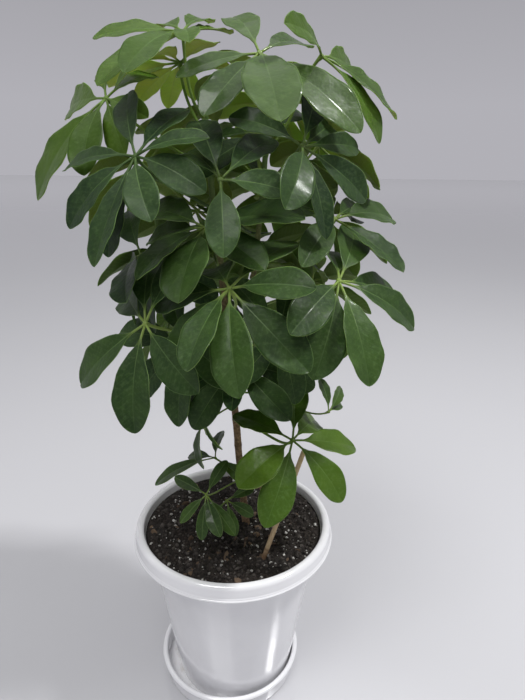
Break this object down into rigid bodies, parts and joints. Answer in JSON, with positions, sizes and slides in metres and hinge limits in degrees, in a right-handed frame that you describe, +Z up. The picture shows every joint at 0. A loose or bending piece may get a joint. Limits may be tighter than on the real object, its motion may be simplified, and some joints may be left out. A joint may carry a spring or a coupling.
{
  "type": "potted umbrella plant",
  "caption": "House plant with palmate compound leaves on a forked trunk beside a thin cane, growing in soil in a rimmed pot that stands on a loose saucer.",
  "frame": {"origin": "on the pot's axis, on the surface that the saucer stands on", "axes": "+Z up along the pot's axis; -Y towards the viewer of the picture; +X to that viewer's right"},
  "size_m": [0.313, 0.2953, 0.6366],
  "materials": {
    "pot": "white, glossy",
    "soil": "dark loose potting mix, matt",
    "bark": "thin tan bark, matt",
    "bamboo": "dry cane, satin",
    "leaf": "waxy green leaf, semi-gloss"
  },
  "bodies": {
    "root": {"cane": "bamboo", "leaf_back_1": "leaf", "leaf_back_10": "leaf", "leaf_back_11": "leaf", "leaf_back_12": "leaf", "leaf_back_13": "leaf", "leaf_back_14": "leaf", "leaf_back_2": "leaf", "leaf_back_3": "leaf", "leaf_back_4": "leaf", "leaf_back_5": "leaf", "leaf_back_6": "leaf", "leaf_back_7": "leaf", "leaf_back_8": "leaf", "leaf_back_9": "leaf", "leaf_crown_back": "leaf", "leaf_crown_front": "leaf", "leaf_crown_left": "leaf", "leaf_crown_right": "leaf", "leaf_front_low": "leaf", "leaf_left_high": "leaf", "leaf_left_low": "leaf", "leaf_left_middle": "leaf", "leaf_left_upper": "leaf", "leaf_low_left": "leaf", "leaf_low_middle": "leaf", "leaf_low_right": "leaf", "leaf_middle": "leaf", "leaf_middle_left": "leaf", "leaf_middle_upper": "leaf", "leaf_right_behind": "leaf", "leaf_right_middle": "leaf", "leaf_right_upper": "leaf", "leaf_shoot_1": "leaf", "leaf_shoot_2": "leaf", "leaf_shoot_3": "leaf", "leaf_small_left": "leaf", "leaf_small_right": "leaf", "leaf_top_middle": "leaf", "pot": "pot", "saucer": "pot", "soil": "soil", "trunk": "bark"}
  },
  "joints": []
}
